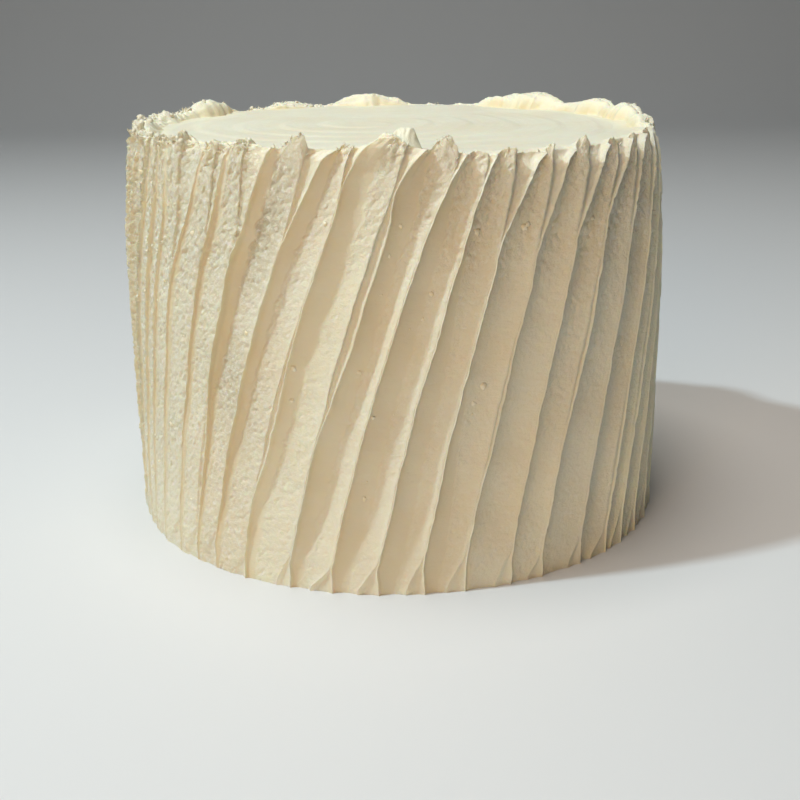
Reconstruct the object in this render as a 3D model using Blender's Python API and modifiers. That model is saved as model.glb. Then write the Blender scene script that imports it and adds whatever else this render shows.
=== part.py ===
"""A tall round almond cake iced in buttercream, standing on its flat base.

Slanted palette-knife strokes flute the side: each scoops a shallow channel, and a sharp ridge
is left between each two. Every stroke ends in a tip at the top edge, where the icing pushed up
by the knife stands as an uneven rim round the smooth, swirled top. The cake is uncut, so it
is one solid. Metres, +Z up, the origin at the centre of the base, the front facing -Y.
"""

import math
import random

import bmesh
import bpy

# Driving dimensions
RADIUS = 0.1075  # ridge crests on the lower wall
HEIGHT = 0.151  # base to the smooth top
TOP_TAPER = 0.0042  # how far the wall draws in at the top edge
TAPER_START = 0.085  # height where the wall starts to draw in
CORE_RADIUS = 0.004  # ring round the centre of the top

# Strokes of the palette knife
FLUTE_DEPTH = 0.0027
FLUTE_COLUMNS = (0.0, 0.2, 0.5, 0.8, 1.0)  # share of a stroke's width at each mesh column
COLUMNS = len(FLUTE_COLUMNS)
MIDDLE = COLUMNS // 2
LIP_DEG = 0.8  # width of a ridge's crest
FOOT_LEVEL = 0.010  # height where a ridge starts to lean
TOP_LEVEL = 0.140  # height where its top angle is taken
FOOT_FADE = 0.030  # the knife digs in over this height
FOOT_WEDGE = 0.014  # below this height the strokes' round ends part
FOOT_WEDGE_DEG = 3.5
HOOK_LEVEL = 0.116  # above this height the strokes' left edges curl to the right
LEAN_START = 0.72  # share of the lean that is straight; the rest steepens upwards

# Ridges of the strokes at the front, from left to right: the angle at the foot and near the
# top, the curl of the next stroke's left edge, all in degrees, and the tip's height in mm
FRONT_RIDGES = (
    (-74.0, -59.0, 3.0, 3.0),
    (-69.0, -54.0, 2.0, 3.5),
    (-64.5, -49.6, 3.0, 3.0),
    (-58.5, -44.4, 5.5, 2.5),
    (-51.5, -35.2, 2.5, 2.5),
    (-45.3, -27.6, 4.0, 4.0),
    (-39.3, -17.2, 4.0, 6.5),
    (-31.5, -8.9, 4.0, 4.0),
    (-21.2, 0.0, 2.2, 5.5),
    (-12.6, 8.3, 1.2, 6.0),
    (-3.9, 15.6, 0.8, 1.5),
    (4.5, 22.2, 4.0, 2.5),
    (12.5, 30.3, 3.5, 3.0),
    (21.8, 38.6, 3.5, 4.0),
    (28.9, 46.5, 4.5, 2.5),
    (38.6, 56.0, 4.0, 2.0),
    (46.5, 66.0, 4.0, 2.5),
    (52.5, 73.5, 3.5, 3.0),
    (59.5, 81.0, 3.0, 2.5),
)
BACK_RIDGES = 27
BACK_LEAN_DEG = 21.0

# Heaps of icing pushed over the top edge: angle and half width in degrees, height in mm
RIM_HEAPS = (
    (-122.0, 9.0, 6.5),
    (-104.0, 7.0, 3.0),
    (-84.0, 8.0, 3.0),
    (-150.0, 8.0, 3.0),
    (-174.0, 9.0, 4.5),
    (141.0, 13.0, 6.5),
    (117.0, 8.0, 5.5),
    (99.0, 8.0, 6.5),
    (81.0, 7.0, 5.0),
    (-1.0, 4.0, 3.0),
)
RIM_LIP = 0.0008  # height of the rim where no icing is heaped
RIM_WIDTH = 0.005
HEAP_WIDTH = 0.008  # extra width of the rim under a full heap
HEAP_FULL = 0.0065  # height of a full heap
HEAP_TIP = 0.3  # share of a stroke's tip that still shows on a heap
# Rings over the rim: share of its width inwards, and share of its height
RIM_RINGS = ((0.0, 0.7), (0.22, 1.0), (0.55, 0.85), (0.85, 0.35), (1.0, 0.0))

# Mesh levels and rings
WALL_LEVELS = (0.0, 0.006, 0.014, 0.030, 0.050, 0.070, 0.090, 0.108, 0.122, 0.134, 0.144)
TOP_RINGS = (0.080, 0.066, 0.050, 0.034, 0.018, CORE_RADIUS)
COARSE_RADIUS = 0.082  # inside this radius the top has two columns a stroke
CORE_COARSE_RADIUS = 0.030  # and inside this one it has one
SWIRL_RELIEF = 0.0005
SWIRL_PITCH = 0.030  # distance between the swirl's turns
SHARP_DEG = 35.0  # edges steeper than this are shaded sharp


def smooth(share):
    share = min(max(share, 0.0), 1.0)
    return share * share * (3.0 - 2.0 * share)


def all_ridges():
    """The ridges all round: those at the front as they stand, and the rest at an even pitch."""
    rng = random.Random(7)
    ridges = list(FRONT_RIDGES)
    first, last = FRONT_RIDGES[0][0], FRONT_RIDGES[-1][0]
    pitch = (360.0 + first - last) / (BACK_RIDGES + 1)
    for number in range(1, BACK_RIDGES + 1):
        foot = last + pitch * number + rng.uniform(-1.0, 1.0)
        lean = BACK_LEAN_DEG + rng.uniform(-1.5, 1.5)
        # The leans of the last ridges draw near to that of the first one at the front
        lean += (FRONT_RIDGES[0][1] - first - lean) * smooth((number - BACK_RIDGES + 6) / 6)
        ridges.append((foot, foot + lean, rng.uniform(1.0, 4.5), rng.uniform(1.5, 6.0)))
    return ridges


RIDGES = all_ridges()
STROKES = len(RIDGES)
STEPS = STROKES * COLUMNS


def ridge_angle(number, height):
    """Angle of a ridge's line at a height, in degrees, counted on past 360 after a full turn."""
    turns, index = divmod(number, STROKES)
    foot, top = RIDGES[index][:2]
    rise = max(height - FOOT_LEVEL, 0.0) / (TOP_LEVEL - FOOT_LEVEL)
    return 360.0 * turns + foot + (top - foot) * (LEAN_START * rise + (1.0 - LEAN_START) * rise**2)


def column_angle(column, height):
    """Angle of a mesh column at a height: its share of the way across its stroke."""
    stroke, part = divmod(column, COLUMNS)
    hook = RIDGES[stroke % STROKES][2] * smooth((height - HOOK_LEVEL) / (HEIGHT - HOOK_LEVEL)) ** 2
    wedge = FOOT_WEDGE_DEG * smooth(1.0 - height / FOOT_WEDGE) ** 2
    left = ridge_angle(stroke, height) + LIP_DEG / 2 + hook
    right = ridge_angle(stroke + 1, height) - LIP_DEG / 2 - wedge
    return left + (right - left) * FLUTE_COLUMNS[part]


def wall_radius(height):
    """Radius of the ridge crests, which draws in towards the top edge."""
    share = max(height - TAPER_START, 0.0) / (HEIGHT - TAPER_START)
    return RADIUS - TOP_TAPER * share**2


def scoop(column, height):
    """Depth of the channel at a column: full across the middle of a stroke, none at its edges."""
    share = FLUTE_COLUMNS[column % COLUMNS]
    foot = 0.35 + 0.65 * smooth(height / FOOT_FADE)
    top = 1.0 - 0.45 * smooth((height - HOOK_LEVEL) / (HEIGHT - HOOK_LEVEL))
    return FLUTE_DEPTH * 4.0 * share * (1.0 - share) * foot * top


def heap_height(angle):
    """Height of the icing heaped on the top edge at an angle, in metres."""
    total = 0.0
    for centre, half_width, height in RIM_HEAPS:
        away = (angle - centre + 180.0) % 360.0 - 180.0
        total += 0.001 * height * math.exp(-((away / half_width) ** 2))
    return total


def rim_height(column, angle):
    """Height of the rim: each stroke's end climbs to its tip, and the heaps stand behind."""
    stroke, part = divmod(column % STEPS, COLUMNS)
    tip = 0.001 * RIDGES[(stroke + 1) % STROKES][3]
    share = FLUTE_COLUMNS[part]
    climb = tip * share**2
    heap = heap_height(angle)
    return RIM_LIP + max(climb, heap) + HEAP_TIP * min(climb, heap)


def point_at(angle, radius, height):
    """A point from its angle, which is nought at the front and grows to the right."""
    turn = math.radians(angle)
    return (radius * math.sin(turn), -radius * math.cos(turn), height)


def wall_point(column, height):
    angle = column_angle(column, height)
    lift = rim_height(column, angle) * RIM_RINGS[0][1]
    raised = height + lift * smooth((height - HOOK_LEVEL) / (HEIGHT - HOOK_LEVEL))
    return point_at(angle, wall_radius(height) - scoop(column, height), raised)


def rim_point(column, ring):
    """A point of the rim, from the wall's top edge inwards to the smooth top."""
    inward, rise = ring
    angle = column_angle(column, HEIGHT)
    width = RIM_WIDTH + HEAP_WIDTH * min(heap_height(angle) / HEAP_FULL, 1.0)
    edge = wall_radius(HEIGHT) - scoop(column, HEIGHT)
    return point_at(angle, edge - width * inward, HEIGHT + rim_height(column, angle) * rise)


def top_point(column, radius):
    """A point of the smooth top, whose spiral of shallow steps the knife left."""
    angle = column_angle(column, HEIGHT)
    phase = radius / SWIRL_PITCH + angle / 360.0
    return point_at(angle, radius, HEIGHT + SWIRL_RELIEF * math.sin(2.0 * math.pi * phase))


def profile_rows():
    """Rows from the top's centre down to the base: radius, height, and what shapes each."""
    edge = wall_radius(HEIGHT)
    rows = [(radius, HEIGHT, top_point, radius) for radius in reversed(TOP_RINGS)]
    for ring in reversed(RIM_RINGS):
        rows.append((edge - RIM_WIDTH * ring[0], HEIGHT, rim_point, ring))
    for level in reversed(WALL_LEVELS):
        rows.append((wall_radius(level), level, wall_point, level))
    return rows


def turned_cake(rows):
    """The plain cake: its profile turned about the Z axis in as many steps as it has columns."""
    profile = bpy.data.meshes.new("profile")
    outline = [(0.0, 0.0, HEIGHT)] + [(row[0], 0.0, row[1]) for row in rows]
    outline.append((0.0, 0.0, 0.0))
    profile.from_pydata(outline, [(i, i + 1) for i in range(len(outline) - 1)], [])
    turned = bpy.data.objects.new("turned", profile)
    bpy.context.scene.collection.objects.link(turned)
    screw = turned.modifiers.new("Turn", "SCREW")
    screw.steps = STEPS
    screw.render_steps = STEPS
    screw.use_merge_vertices = True
    screw.merge_threshold = 0.00001
    graph = bpy.context.evaluated_depsgraph_get()
    mesh = bpy.data.meshes.new_from_object(turned.evaluated_get(graph))
    bpy.data.objects.remove(turned)
    bpy.data.meshes.remove(profile)
    return mesh


def mesh_grid(shape, rows):
    """The turned blank's points by row and column; the two on its axis are left out."""
    grid = {}
    for vertex in shape.verts:
        radius = math.hypot(vertex.co.x, vertex.co.y)
        if radius < CORE_RADIUS / 2:
            continue
        turn = math.atan2(vertex.co.y, vertex.co.x) / (2.0 * math.pi)
        gaps = [abs(row[0] - radius) + abs(row[1] - vertex.co.z) for row in rows]
        grid[gaps.index(min(gaps)), round(turn * STEPS) % STEPS] = vertex
    return grid


def kept_column(column, radius):
    """The column that a point of the smooth top is merged into, as the top needs fewer."""
    part = column % COLUMNS
    if part > MIDDLE:
        return (column + COLUMNS - part) % STEPS
    if part == MIDDLE and radius > CORE_COARSE_RADIUS:
        return column
    return column - part


def shape_icing(mesh, rows):
    """Moves each point of the turned blank to its place, and thins the mesh of the smooth top."""
    shape = bmesh.new()
    shape.from_mesh(mesh)
    grid = mesh_grid(shape, rows)
    welds = {}
    for (row, column), vertex in grid.items():
        radius, _, place, where = rows[row]
        vertex.co = place(column, where)
        kept = kept_column(column, radius)
        if radius < COARSE_RADIUS and kept != column:
            welds[vertex] = grid[row, kept]
    bmesh.ops.weld_verts(shape, targetmap=welds)
    bmesh.ops.recalc_face_normals(shape, faces=shape.faces)
    shape.to_mesh(mesh)
    shape.free()


def buttercream():
    material = bpy.data.materials.new("buttercream")
    material.use_nodes = True
    shader = material.node_tree.nodes["Principled BSDF"]
    shader.inputs["Base Color"].default_value = (0.87, 0.79, 0.58, 1.0)
    shader.inputs["Roughness"].default_value = 0.5
    shader.inputs["Metallic"].default_value = 0.0
    return material


def main():
    for old in list(bpy.data.objects):
        bpy.data.objects.remove(old)
    rows = profile_rows()
    mesh = turned_cake(rows)
    shape_icing(mesh, rows)
    mesh.name = "almond_cake"
    mesh.materials.append(buttercream())
    mesh.shade_smooth()
    mesh.set_sharp_from_angle(angle=math.radians(SHARP_DEG))
    cake = bpy.data.objects.new("almond_cake", mesh)
    collection = bpy.data.collections.new("almond_cake")
    bpy.context.scene.collection.children.link(collection)
    collection.objects.link(cake)


main()
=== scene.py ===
"""The looks of a tall round almond cake iced in ivory buttercream.

The icing is one skin of knife strokes: each stroke scoops a channel up the side, throws up a
thin lip along both of its edges, and ends in a torn tip at the top edge. Behind the tips lies
the rim of icing pushed over the edge, then the smooth swirled top. The skin is worked out as
one grid of points, row by row from the foot to the top's own piece, and is cut along ridges,
where no cut can show. Metres, +Z up, angles in degrees from the front (-Y) towards +X.
"""

import itertools
import math
import random
from types import SimpleNamespace

import bmesh
import bpy
import numpy as np
from mathutils import Matrix, Vector


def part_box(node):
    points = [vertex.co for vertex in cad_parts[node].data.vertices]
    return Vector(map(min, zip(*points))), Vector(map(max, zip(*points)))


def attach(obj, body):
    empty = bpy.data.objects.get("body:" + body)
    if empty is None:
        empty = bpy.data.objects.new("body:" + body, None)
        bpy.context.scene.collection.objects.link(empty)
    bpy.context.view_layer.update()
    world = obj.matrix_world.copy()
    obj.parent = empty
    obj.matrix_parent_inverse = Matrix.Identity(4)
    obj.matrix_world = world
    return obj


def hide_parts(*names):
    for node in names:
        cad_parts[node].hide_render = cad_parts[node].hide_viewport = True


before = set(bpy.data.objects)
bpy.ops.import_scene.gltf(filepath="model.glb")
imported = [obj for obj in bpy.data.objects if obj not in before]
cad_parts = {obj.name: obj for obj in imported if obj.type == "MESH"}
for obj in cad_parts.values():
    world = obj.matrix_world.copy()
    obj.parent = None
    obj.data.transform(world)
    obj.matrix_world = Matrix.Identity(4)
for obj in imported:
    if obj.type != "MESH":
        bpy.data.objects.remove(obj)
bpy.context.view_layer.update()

MM = 0.001
CAKE = "almond_cake"
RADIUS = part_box(CAKE)[1].x
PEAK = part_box(CAKE)[1].z
HEIGHT = 0.151  # base to the top edge, without its tips
TOP_RISE = 0.0009  # the smooth top stands this much above the low parts of the edge
SKIN_SPARE = 0.05 * MM  # the skin stays this far inside the solid's box
FINE = 1.0  # share of the full mesh detail

# The wall draws in towards the top edge
TOP_TAPER = 0.0042
TAPER_START = 0.085

# Ridges at the front, left to right: angle at the foot and near the top, in degrees. The curl
# of the next stroke's left edge, in degrees, and the height in mm of the tip that ends at the
# ridge are for strokes that have no row in STROKE_TOPS
FRONT_RIDGES = (
    (-74.0, -59.0, 3.0, 3.0),
    (-69.0, -54.0, 2.0, 3.5),
    (-64.5, -49.6, 3.0, 3.0),
    (-58.5, -44.4, 5.5, 2.5),
    (-51.5, -35.2, 2.5, 2.5),
    (-45.3, -27.6, 4.0, 4.0),
    (-39.3, -17.2, 4.0, 6.5),
    (-31.5, -8.9, 4.0, 4.0),
    (-21.2, 0.0, 2.2, 5.5),
    (-12.6, 8.3, 1.2, 6.0),
    (-3.9, 15.6, 0.8, 1.5),
    (4.5, 22.2, 4.0, 2.5),
    (12.5, 30.3, 3.5, 3.0),
    (21.8, 38.6, 3.5, 4.0),
    (28.9, 46.5, 4.5, 2.5),
    (38.6, 56.0, 4.0, 2.0),
    (46.5, 66.0, 4.0, 2.5),
    (52.5, 73.5, 3.5, 3.0),
    (59.5, 81.0, 3.0, 2.5),
)
# How far each of the first front ridges turns aside by the top edge, in degrees
RIDGE_TURNS = (
    *(-1.2, -1.8, -3.0, -2.0, -1.5, -2.3, -0.5, -0.9),
    *(0.2, 1.6, 0.2, -0.5, -0.3, 0.8, 2.4, 0.5),
)
# Tops of front strokes, by the number of the ridge at their left: level in mm where the left
# edge starts to curl away from the ridge, how far it has curled 3 mm below the top edge and at
# it, in degrees, then the place of the highest point across the top, from 0 to 1, how pointed
# the top is, and its height in mm
STROKE_TOPS = {
    2: (135.0, 0.8, 1.5, 0.75, 0.0, 4.8),
    3: (105.0, 6.2, 6.8, 0.5, 0.0, 3.4),
    4: (118.0, 2.2, 3.0, 0.70, 0.0, 5.2),
    5: (118.0, 4.6, 5.4, 0.88, 0.0, 7.9),
    6: (123.0, 3.1, 5.0, 0.45, 0.0, 4.6),
    7: (139.0, 2.2, 4.2, 0.56, 0.0, 6.9),
    8: (138.0, 1.8, 3.0, 0.62, 0.1, 7.0),
    9: (143.0, 0.4, 0.8, 0.45, 0.0, 1.8),
    10: (142.0, 0.4, 0.9, 0.85, 0.0, 2.4),
    11: (122.0, 4.2, 5.8, 0.95, 1.0, 3.2),
    12: (118.0, 3.1, 4.8, 0.79, 0.9, 4.4),
    13: (122.0, 4.0, 5.3, 0.62, 0.7, 2.4),
    14: (128.0, 3.6, 4.6, 0.80, 0.8, 2.4),
}
# The last two numbers for strokes without a row there: place of the highest point, pointedness
USUAL_TOP = (0.85, 0.6)
LOW_CURL_SHARE = 0.75  # how much of its curl a usual left edge has 3 mm below the top edge
CURL_STEP = 3.0 * MM
DOUBLE = 8  # the stroke whose left edge stands clear of the ridge for most of its height
# Height in mm of the top edge between the strokes, by angle
EDGE_LEVELS = (
    (-180.0, -0.3), (-100.0, -0.2), (-80.0, 1.2), (-62.0, 2.4), (-50.0, 2.8),
    (-40.0, 2.6), (-24.0, 3.2), (-13.0, 3.1), (-6.0, 3.2), (4.0, 3.1),
    (10.0, 2.1), (14.0, 0.8), (18.0, -0.4), (24.0, -1.5), (28.0, -1.0),
    (34.0, -0.7), (44.0, 0.2), (53.0, 1.0), (70.0, 1.0), (90.0, 0.0),
    (180.0, -0.3),
)
BACK_RIDGES = 27
BACK_LEAN_DEG = 21.0
FOOT_LEVEL = 0.010  # height where a ridge starts to lean
TOP_LEVEL = 0.140  # height where its top angle is taken
LEAN_START = 0.72  # share of the lean that is straight; the rest steepens upwards
HOOK_LEVEL = 0.120  # above this height a usual left edge curls, and channels grow shallower
LAND_DEG = 0.16  # width of the land between a ridge's line and a stroke's edge, without a curl
LEAST_STROKE_DEG = 0.8  # what a curl leaves of its stroke's width
VALLEY_DEPTH = 1.5 * MM  # of wide land between two strokes
LIP_WIDTHS = (0.45, 0.35)  # in mm, of the lips on a stroke's left and right edges
WORN_EDGE = 0.55 * MM  # how far the strokes' edges are worn down at the left
ARCH_START = 0.128  # above this height the wall is stretched up to the torn top edge

# Icing heaped on the top edge: angle and half width in degrees, height in mm
RIM_HEAPS = (
    (-122.0, 9.0, 6.5), (-104.0, 7.0, 3.0), (-84.0, 8.0, 3.0), (-150.0, 8.0, 3.0),
    (-174.0, 9.0, 4.5), (141.0, 13.0, 6.5), (117.0, 8.0, 5.5), (100.0, 9.0, 5.4),
    (81.0, 8.0, 3.8), (-1.0, 4.0, 3.0),
)
RIM_WIDTH = 0.005
HEAP_WIDTH = 0.008  # extra width of the rim under a full heap
HEAP_FULL = 0.0065  # height of a full heap
HEAP_LOW = 0.003  # from this height on, icing counts as fully heaped

# Mesh of the skin. Columns: across the land right of a ridge, a channel, and the land after it
LAND_BEFORE, CHANNEL, LAND_AFTER = range(3)
FRONT_COLUMNS = (7, 29, 4)
BACK_COLUMNS = (5, 15, 3)
FRONT_FROM, FRONT_TO = -82.0, 84.0  # the strokes between these angles have the front's columns
CROWDING = 1.25  # how much a channel's columns crowd to its left edge
WALL_ROWS = 236
RIM_ROWS = 26
FLAT_ROWS = 8
SEAM_RADIUS = 0.086  # where the rim's pieces meet the top's
SECTORS = 6

# The smooth top's own mesh, whose rings have half as many points inside each of these radii
TOP_ROWS = 64
TOP_CORE = 0.0015
HALVING_RADII = (0.0852, 0.055, 0.028)
SWIRL_CENTRE = (-0.011, 0.006)
SWIRL_PITCH = 0.0165

# Heights in mm of the tears on fully torn icing
COARSE_TEARS = 0.22
FINE_TEARS = 0.36
PIT_DEPTH = 0.62
PATCH_TEARS = 0.45
SIDE_WAVES = 0.30
EDGE_CRUMBS = 0.36
EDGE_CRUST = 0.95
HEAP_LUMPS = 1.15

# Loose bits: how many there are, and by how much more likely they are at the left
SPIKES = 420
EDGE_CLODS = 130
WALL_CLODS = 170
BACK_CRUMBS = 60
SMALL_CRUMBS = 14
LEFT_CHANCE = 3.2
SPIN = 6.28  # nearly a full turn, in radians
# Paler specks of icing dragged down the front, each with a tan streak under it: angle in
# degrees, height in mm and size in mm
SPECKS = (
    (25.6, 128.0, 1.1),
    (41.4, 127.0, 1.2),
    (46.3, 122.0, 1.0),
)
# Larger crumbs caught in the icing at the front: angle in degrees, height in mm and size in mm
FRONT_CRUMBS = (
    (16.4, 74.5, 1.3), (14.7, 68.7, 0.9), (25.0, 127.0, 1.3), (15.3, 127.0, 1.1),
    (1.2, 130.0, 0.8), (-0.9, 120.0, 0.7), (6.7, 107.0, 0.9), (5.0, 99.0, 0.8),
    (-19.1, 81.5, 1.1), (-20.0, 69.8, 0.9), (-6.8, 81.0, 1.0), (-4.3, 65.7, 0.8),
    (-6.2, 35.4, 0.9), (-28.8, 92.0, 0.8), (-12.5, 130.5, 0.8), (-24.6, 138.0, 0.8),
    (-51.8, 104.8, 1.2), (-52.2, 50.0, 1.2),
)


def smooth(share):
    share = np.clip(share, 0.0, 1.0)
    return share * share * (3.0 - 2.0 * share)


def above(value, start, width):
    """From 0 at the start to 1 where the value is a width above it."""
    return smooth((value - start) / width)


def below(value, start, width):
    """From 0 at the start to 1 where the value is a width below it."""
    return smooth((start - value) / width)


def bell(value, centre, half_width):
    """1 at the centre, fading out to both sides."""
    return np.exp(-(((value - centre) / half_width) ** 2))


def from_front(angle):
    """The same angle, from -180 to 180."""
    return (angle + 180.0) % 360.0 - 180.0


def angle_of(points):
    """Angle of points round the cake, from -180 to 180."""
    return np.degrees(np.arctan2(points[..., 0], -points[..., 1]))


def level_place(radius, turn):
    """X and y at a radius, the turn in radians from the front."""
    return radius * np.sin(turn), -radius * np.cos(turn)


def joined(*parts):
    """Arrays or numbers side by side, as the last axis of one array."""
    return np.stack(np.broadcast_arrays(*parts), -1)


NOISE_PRIMES = (np.uint32(73856093), np.uint32(19349663), np.uint32(83492791))
NOISE_MIXERS = ((15, 2246822519), (13, 3266489917), (16, 1))  # bits to shift by, factor
NOISE_GAIN = 1.7


def noise(x, y, z=0.0, seed=0):
    """Smooth gradient noise, mostly between -1 and 1, at points in units of one cell."""
    places = np.broadcast_arrays(x, y, z)
    floors = [np.floor(place) for place in places]
    cells = [low.astype(np.int64).astype(np.uint32) for low in floors]
    parts = [place - low for place, low in zip(places, floors)]
    fades = [t * t * t * (t * (t * 6.0 - 15.0) + 10.0) for t in parts]
    total = np.zeros(places[0].shape)
    start = np.uint32((seed * 2654435761 + 374761393) % 2**32)
    for corner in itertools.product((0, 1), repeat=3):
        mixed = start
        weight = 1.0
        for axis, step in enumerate(corner):
            mixed = mixed ^ ((cells[axis] + np.uint32(step)) * NOISE_PRIMES[axis])
            weight = weight * (fades[axis] if step else 1.0 - fades[axis])
        for shift, factor in NOISE_MIXERS:
            mixed = (mixed ^ (mixed >> np.uint32(shift))) * np.uint32(factor)
        for axis, step in enumerate(corner):
            slope = ((mixed >> np.uint32(10 * axis)) & np.uint32(1023)) / 511.5 - 1.0
            total = total + weight * slope * (parts[axis] - step)
    return total * NOISE_GAIN


def noise_at(points, size, seed):
    """Noise at points in space, with features about as large as size, in mm."""
    x, y, z = np.moveaxis(points / (size * MM), -1, 0)
    return noise(x, y, z, seed)


def all_ridges():
    """The ridges all round, by the rule that the solid follows."""
    rng = random.Random(7)
    ridges = list(FRONT_RIDGES)
    first, last = FRONT_RIDGES[0][0], FRONT_RIDGES[-1][0]
    pitch = (360.0 + first - last) / (BACK_RIDGES + 1)
    for number in range(1, BACK_RIDGES + 1):
        foot = last + pitch * number + rng.uniform(-1.0, 1.0)
        lean = BACK_LEAN_DEG + rng.uniform(-1.5, 1.5)
        # The leans of the last ridges draw near to that of the first one at the front
        lean += (FRONT_RIDGES[0][1] - first - lean) * smooth((number - BACK_RIDGES + 6) / 6)
        ridges.append((foot, foot + lean, rng.uniform(1.0, 4.5), rng.uniform(1.5, 6.0)))
    return np.array(ridges)


RIDGES = all_ridges()
STROKES = len(RIDGES)
FOOT, TOP, HOOK, TIP = RIDGES.T

# What differs from stroke to stroke: the depth of its channel, how far its round end parts from
# the next one at the foot, in degrees, and up to which height, how far its left edge stands
# off the ridge, in degrees, and at which height, and how high its lips are
draws = np.random.default_rng(11)
DEPTH = 0.0029 * draws.uniform(0.82, 1.15, STROKES)
WEDGE = draws.uniform(2.6, 4.4, STROKES)
WEDGE_TOP = draws.uniform(0.011, 0.019, STROKES)
SPARE = draws.uniform(0.3, 1.1, STROKES) * (draws.random(STROKES) < 0.5)
SPARE_AT = draws.uniform(0.03, 0.12, STROKES)
LIP = draws.uniform(0.4, 0.8, STROKES) * MM


def stroke_tops():
    """For each stroke, the six numbers of its top, lengths in metres."""
    rows = []
    for stroke in range(STROKES):
        curl = HOOK[stroke]
        usual = (HOOK_LEVEL / MM, LOW_CURL_SHARE * curl, curl + 0.8, *USUAL_TOP, TIP[(stroke + 1) % STROKES])
        rows.append(STROKE_TOPS.get(stroke, usual))
    return np.array(rows) * np.array([MM, 1.0, 1.0, 1.0, 1.0, MM])


CURL_START, CURL_LOW, CURL_HIGH, APEX, POINTED, ARCH = stroke_tops().T
TURN = np.zeros(STROKES)
TURN[: len(RIDGE_TURNS)] = RIDGE_TURNS


def ridge_angle(ridge, z):
    """Angle of a ridge's line at a height, counted on past 360 after a full turn."""
    turns, index = np.divmod(ridge, STROKES)
    rise = np.maximum(z - FOOT_LEVEL, 0.0) / (TOP_LEVEL - FOOT_LEVEL)
    lean = (TOP[index] - FOOT[index]) * (LEAN_START * rise + (1.0 - LEAN_START) * rise**2)
    wander = 0.36 * noise(index * 7.3, z / 0.020, seed=1)
    wander = wander + 0.15 * noise(index * 5.1, z / 0.0055, seed=2)
    aside = TURN[index] * above(z, 0.125, HEIGHT - 0.125)
    return 360.0 * turns + FOOT[index] + lean + wander + aside


def left_land(stroke, z):
    """Width in degrees of the land between a stroke's left ridge line and its left edge."""
    index = stroke % STROKES
    bend = HEIGHT - CURL_STEP
    first = np.clip((z - CURL_START[index]) / (bend - CURL_START[index]), 0.0, 1.0) ** 1.35
    second = np.clip((z - bend) / CURL_STEP, 0.0, 1.0) ** 1.2
    hook = CURL_LOW[index] * first + (CURL_HIGH[index] - CURL_LOW[index]) * second
    spare = SPARE[index] * bell(z, SPARE_AT[index], 0.022)
    double = 1.6 * above(z, 0.055, 0.035) * (1.0 - above(z, 0.126, 0.016))
    spare = np.where(index == DOUBLE, double, spare)
    room = ridge_angle(stroke + 1, z) - ridge_angle(stroke, z) - right_land(stroke, z) - LEAST_STROKE_DEG
    width = LAND_DEG + 0.06 * noise(index * 3.7, z / 0.003, seed=3) + hook + spare
    return np.clip(width, 0.05, room)


def right_land(stroke, z):
    """Width in degrees of the land between a stroke's right edge and its right ridge line."""
    index = stroke % STROKES
    wedge = WEDGE[index] * smooth(1.0 - z / WEDGE_TOP[index]) ** 1.5
    return LAND_DEG + 0.06 * noise(index * 3.1, z / 0.003, seed=4) + wedge


def wall_radius(z):
    share = np.maximum(z - TAPER_START, 0.0) / (HEIGHT - TAPER_START)
    return RADIUS - TOP_TAPER * share**2


def heap_height(angle):
    total = np.zeros(np.shape(angle))
    for centre, half_width, height in RIM_HEAPS:
        total += MM * height * bell(from_front(angle - centre), 0.0, half_width)
    return total


def lip_height(stroke, z):
    index = stroke % STROKES
    return LIP[index] * (1.0 + 0.5 * noise(index * 2.3, z / 0.006, seed=5))


def scoop_form(share, stroke_angle):
    """Depth across a channel, from 0 to 1. At the cake's left it is steep by its left edge."""
    left = below(stroke_angle, -8.0, 24.0)
    start = 0.88 - 0.56 * left
    end = 1.0 - 0.10 * left
    deepest = start / (start + end)
    top = deepest**start * (1.0 - deepest) ** end
    return np.clip(share, 0.0, 1.0) ** start * (1.0 - share) ** end / top


def valley_form(share):
    """Depth across the land between two strokes, nought at both ends, deepest at a quarter."""
    share = np.clip(share, 0.0, 1.0)
    return share**0.30 * (1.0 - share) ** 0.9 / 0.586


def arch_form(share, apex, pointed):
    """Height across the torn top of a stroke, from 0 to 1: a round arch or a pointed fin."""
    rise = np.clip(share / apex, 0.0, 1.0)
    round_rise = np.sin(0.5 * math.pi * rise)
    fall = np.clip((share - apex) / (1.0 - apex), 0.0, 1.0)
    round_fall = (1.0 - fall**2.2) ** 0.75
    straight_fall = 1.0 - smooth(fall)
    rise = round_rise + (rise - round_rise) * pointed
    return rise * (round_fall + (straight_fall - round_fall) * pointed)


def column_layout():
    """For each column of the skin: its stroke, which part of it, and its share of that part."""
    strokes, parts, shares = [], [], []
    for stroke in range(STROKES):
        middle = (FOOT[stroke] + TOP[stroke]) / 2
        counts = FRONT_COLUMNS if FRONT_FROM < middle < FRONT_TO else BACK_COLUMNS
        for part, count in enumerate(counts):
            count = max(int(count * FINE), 2)
            steps = np.arange(count) / count
            if part == CHANNEL:
                steps = steps**CROWDING
            strokes += [stroke] * count
            parts += [part] * count
            shares += list(steps)
    return np.array(strokes), np.array(parts), np.array(shares)


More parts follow.
